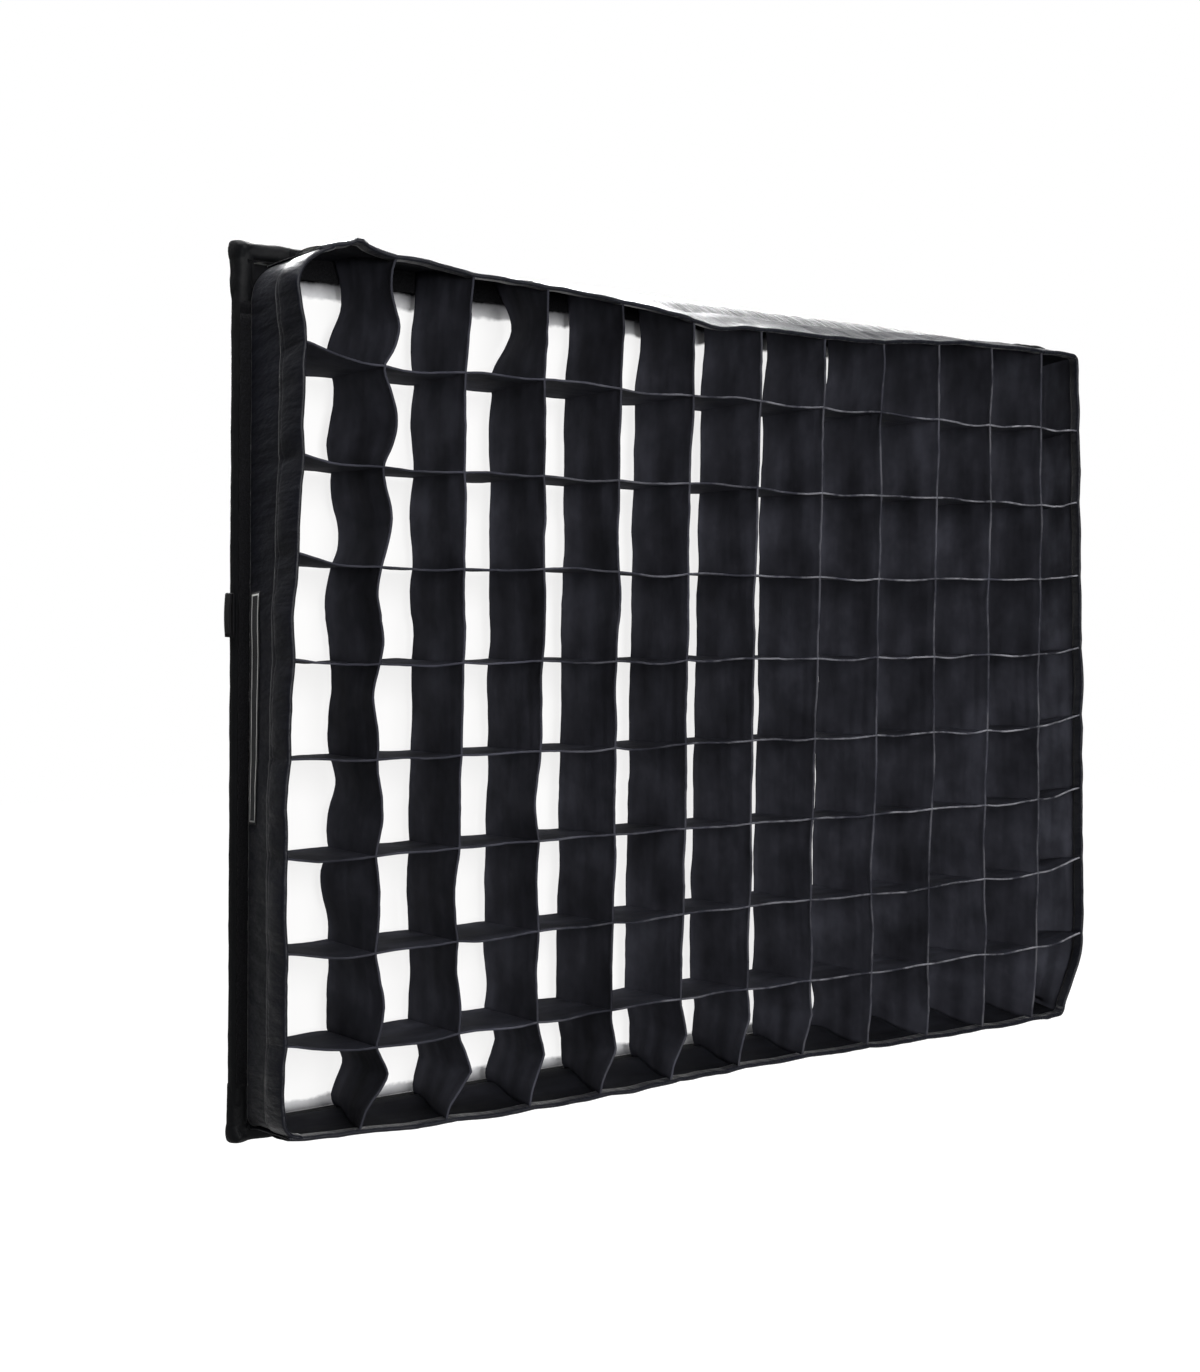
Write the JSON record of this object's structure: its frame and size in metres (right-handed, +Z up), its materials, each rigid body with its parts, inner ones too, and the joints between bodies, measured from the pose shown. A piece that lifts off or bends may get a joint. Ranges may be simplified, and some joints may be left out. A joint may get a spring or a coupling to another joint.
{
  "type": "softbox fabric control grid",
  "caption": "Black fabric egg-crate light control grid on the rigid front rim of a rectangular softbox, over a white diffuser.",
  "frame": {"origin": "centre of the rim's flat rear plane, where the softbox's shell is sewn on", "axes": "+X to the right of someone facing the grid, +Y from the grid back towards the light, +Z up"},
  "size_m": [0.9973, 0.1039, 0.7674],
  "materials": {
    "wall_nylon": "black woven nylon with a soft sheen",
    "divider_nylon": "light black woven nylon, slightly blue",
    "rim_nylon": "black woven nylon sleeve, edge worn a little paler",
    "white_diffusion": "matt white translucent diffusion cloth",
    "black_webbing": "black ribbed webbing",
    "hook_tape": "black hook tape, bristly and matt",
    "loop_tape": "black loop tape, fuzzy and matt",
    "label_cloth": "pale woven label with dark ends, no lettering",
    "black_plastic": "moulded black nylon",
    "fibreglass_rod": "pultruded black fibreglass rod"
  },
  "bodies": {
    "rim": {"top_rod": "fibreglass_rod", "top_rim_sleeve": "rim_nylon", "top_hook_tape": "hook_tape", "top_diffuser_binding": "black_webbing", "right_rod": "fibreglass_rod", "right_rim_sleeve": "rim_nylon", "right_hook_tape": "hook_tape", "right_diffuser_binding": "black_webbing", "bottom_rod": "fibreglass_rod", "bottom_rim_sleeve": "rim_nylon", "bottom_hook_tape": "hook_tape", "bottom_diffuser_binding": "black_webbing", "left_rod": "fibreglass_rod", "left_rim_sleeve": "rim_nylon", "left_hook_tape": "hook_tape", "left_diffuser_binding": "black_webbing", "top_right_rod_elbow": "black_plastic", "top_right_corner_pocket": "black_webbing", "bottom_right_rod_elbow": "black_plastic", "bottom_right_corner_pocket": "black_webbing", "bottom_left_rod_elbow": "black_plastic", "bottom_left_corner_pocket": "black_webbing", "top_left_rod_elbow": "black_plastic", "top_left_corner_pocket": "black_webbing", "diffuser_cloth": "white_diffusion", "side_pull_tab": "black_webbing"},
    "grid_top": {"top_wall": "wall_nylon", "top_hem": "wall_nylon", "top_loop_tape": "loop_tape"},
    "grid_left": {"left_wall": "wall_nylon", "left_hem": "wall_nylon", "left_loop_tape": "loop_tape", "plain_label": "label_cloth"},
    "grid_right": {"right_wall": "wall_nylon", "right_hem": "wall_nylon", "right_loop_tape": "loop_tape"},
    "grid_bottom": {"bottom_wall": "wall_nylon", "bottom_hem": "wall_nylon", "bottom_loop_tape": "loop_tape"},
    "upright_divider_1": {"upright_divider_1": "divider_nylon"},
    "upright_divider_2": {"upright_divider_2": "divider_nylon"},
    "upright_divider_3": {"upright_divider_3": "divider_nylon"},
    "upright_divider_4": {"upright_divider_4": "divider_nylon"},
    "upright_divider_5": {"upright_divider_5": "divider_nylon"},
    "upright_divider_6": {"upright_divider_6": "divider_nylon"},
    "upright_divider_7": {"upright_divider_7": "divider_nylon"},
    "upright_divider_8": {"upright_divider_8": "divider_nylon"},
    "upright_divider_9": {"upright_divider_9": "divider_nylon"},
    "upright_divider_10": {"upright_divider_10": "divider_nylon"},
    "upright_divider_11": {"upright_divider_11": "divider_nylon"},
    "level_divider_1": {"level_divider_1": "divider_nylon"},
    "level_divider_2": {"level_divider_2": "divider_nylon"},
    "level_divider_3": {"level_divider_3": "divider_nylon"},
    "level_divider_4": {"level_divider_4": "divider_nylon"},
    "level_divider_5": {"level_divider_5": "divider_nylon"},
    "level_divider_6": {"level_divider_6": "divider_nylon"},
    "level_divider_7": {"level_divider_7": "divider_nylon"},
    "level_divider_8": {"level_divider_8": "divider_nylon"}
  },
  "joints": [
    {"name": "grid_release", "type": "slide", "parent": "rim", "child": "grid_top", "axis": [0, -1, 0], "range_m": [0, 0.12]},
    {"name": "grid_fold", "type": "hinge", "parent": "grid_top", "child": "grid_left", "pos_m": [-0.489, -0.0614, 0.36075], "axis": [0, -1, 0], "range_deg": [-75, 75]},
    {"name": "right_wall_lean", "type": "hinge", "parent": "grid_top", "child": "grid_right", "pos_m": [0.489, -0.0614, 0.36075], "axis": [0, -1, 0], "range_deg": [-75, 75]},
    {"name": "bottom_wall_stays_level", "type": "hinge", "parent": "grid_left", "child": "grid_bottom", "pos_m": [-0.489, -0.0614, -0.37275], "axis": [0, -1, 0], "range_deg": [-75, 75]},
    {"name": "upright_divider_1_lean", "type": "hinge", "parent": "grid_top", "child": "upright_divider_1", "pos_m": [-0.4075, -0.0614, 0.36075], "axis": [0, -1, 0], "range_deg": [-75, 75]},
    {"name": "upright_divider_2_lean", "type": "hinge", "parent": "grid_top", "child": "upright_divider_2", "pos_m": [-0.326, -0.0614, 0.36075], "axis": [0, -1, 0], "range_deg": [-75, 75]},
    {"name": "upright_divider_3_lean", "type": "hinge", "parent": "grid_top", "child": "upright_divider_3", "pos_m": [-0.2445, -0.0614, 0.36075], "axis": [0, -1, 0], "range_deg": [-75, 75]},
    {"name": "upright_divider_4_lean", "type": "hinge", "parent": "grid_top", "child": "upright_divider_4", "pos_m": [-0.163, -0.0614, 0.36075], "axis": [0, -1, 0], "range_deg": [-75, 75]},
    {"name": "upright_divider_5_lean", "type": "hinge", "parent": "grid_top", "child": "upright_divider_5", "pos_m": [-0.0815, -0.0614, 0.36075], "axis": [0, -1, 0], "range_deg": [-75, 75]},
    {"name": "upright_divider_6_lean", "type": "hinge", "parent": "grid_top", "child": "upright_divider_6", "pos_m": [0, -0.0614, 0.36075], "axis": [0, -1, 0], "range_deg": [-75, 75]},
    {"name": "upright_divider_7_lean", "type": "hinge", "parent": "grid_top", "child": "upright_divider_7", "pos_m": [0.0815, -0.0614, 0.36075], "axis": [0, -1, 0], "range_deg": [-75, 75]},
    {"name": "upright_divider_8_lean", "type": "hinge", "parent": "grid_top", "child": "upright_divider_8", "pos_m": [0.163, -0.0614, 0.36075], "axis": [0, -1, 0], "range_deg": [-75, 75]},
    {"name": "upright_divider_9_lean", "type": "hinge", "parent": "grid_top", "child": "upright_divider_9", "pos_m": [0.2445, -0.0614, 0.36075], "axis": [0, -1, 0], "range_deg": [-75, 75]},
    {"name": "upright_divider_10_lean", "type": "hinge", "parent": "grid_top", "child": "upright_divider_10", "pos_m": [0.326, -0.0614, 0.36075], "axis": [0, -1, 0], "range_deg": [-75, 75]},
    {"name": "upright_divider_11_lean", "type": "hinge", "parent": "grid_top", "child": "upright_divider_11", "pos_m": [0.4075, -0.0614, 0.36075], "axis": [0, -1, 0], "range_deg": [-75, 75]},
    {"name": "level_divider_1_stays_level", "type": "hinge", "parent": "grid_left", "child": "level_divider_1", "pos_m": [-0.489, -0.0614, 0.27925], "axis": [0, -1, 0], "range_deg": [-75, 75]},
    {"name": "level_divider_2_stays_level", "type": "hinge", "parent": "grid_left", "child": "level_divider_2", "pos_m": [-0.489, -0.0614, 0.19775], "axis": [0, -1, 0], "range_deg": [-75, 75]},
    {"name": "level_divider_3_stays_level", "type": "hinge", "parent": "grid_left", "child": "level_divider_3", "pos_m": [-0.489, -0.0614, 0.11625], "axis": [0, -1, 0], "range_deg": [-75, 75]},
    {"name": "level_divider_4_stays_level", "type": "hinge", "parent": "grid_left", "child": "level_divider_4", "pos_m": [-0.489, -0.0614, 0.03475], "axis": [0, -1, 0], "range_deg": [-75, 75]},
    {"name": "level_divider_5_stays_level", "type": "hinge", "parent": "grid_left", "child": "level_divider_5", "pos_m": [-0.489, -0.0614, -0.04675], "axis": [0, -1, 0], "range_deg": [-75, 75]},
    {"name": "level_divider_6_stays_level", "type": "hinge", "parent": "grid_left", "child": "level_divider_6", "pos_m": [-0.489, -0.0614, -0.12825], "axis": [0, -1, 0], "range_deg": [-75, 75]},
    {"name": "level_divider_7_stays_level", "type": "hinge", "parent": "grid_left", "child": "level_divider_7", "pos_m": [-0.489, -0.0614, -0.20975], "axis": [0, -1, 0], "range_deg": [-75, 75]},
    {"name": "level_divider_8_stays_level", "type": "hinge", "parent": "grid_left", "child": "level_divider_8", "pos_m": [-0.489, -0.0614, -0.29125], "axis": [0, -1, 0], "range_deg": [-75, 75]}
  ],
  "couplings": [
    {"joint": "right_wall_lean", "follows": "grid_fold", "ratio": 1},
    {"joint": "bottom_wall_stays_level", "follows": "grid_fold", "ratio": -1},
    {"joint": "upright_divider_1_lean", "follows": "grid_fold", "ratio": 1},
    {"joint": "upright_divider_2_lean", "follows": "grid_fold", "ratio": 1},
    {"joint": "upright_divider_3_lean", "follows": "grid_fold", "ratio": 1},
    {"joint": "upright_divider_4_lean", "follows": "grid_fold", "ratio": 1},
    {"joint": "upright_divider_5_lean", "follows": "grid_fold", "ratio": 1},
    {"joint": "upright_divider_6_lean", "follows": "grid_fold", "ratio": 1},
    {"joint": "upright_divider_7_lean", "follows": "grid_fold", "ratio": 1},
    {"joint": "upright_divider_8_lean", "follows": "grid_fold", "ratio": 1},
    {"joint": "upright_divider_9_lean", "follows": "grid_fold", "ratio": 1},
    {"joint": "upright_divider_10_lean", "follows": "grid_fold", "ratio": 1},
    {"joint": "upright_divider_11_lean", "follows": "grid_fold", "ratio": 1},
    {"joint": "level_divider_1_stays_level", "follows": "grid_fold", "ratio": -1},
    {"joint": "level_divider_2_stays_level", "follows": "grid_fold", "ratio": -1},
    {"joint": "level_divider_3_stays_level", "follows": "grid_fold", "ratio": -1},
    {"joint": "level_divider_4_stays_level", "follows": "grid_fold", "ratio": -1},
    {"joint": "level_divider_5_stays_level", "follows": "grid_fold", "ratio": -1},
    {"joint": "level_divider_6_stays_level", "follows": "grid_fold", "ratio": -1},
    {"joint": "level_divider_7_stays_level", "follows": "grid_fold", "ratio": -1},
    {"joint": "level_divider_8_stays_level", "follows": "grid_fold", "ratio": -1}
  ]
}
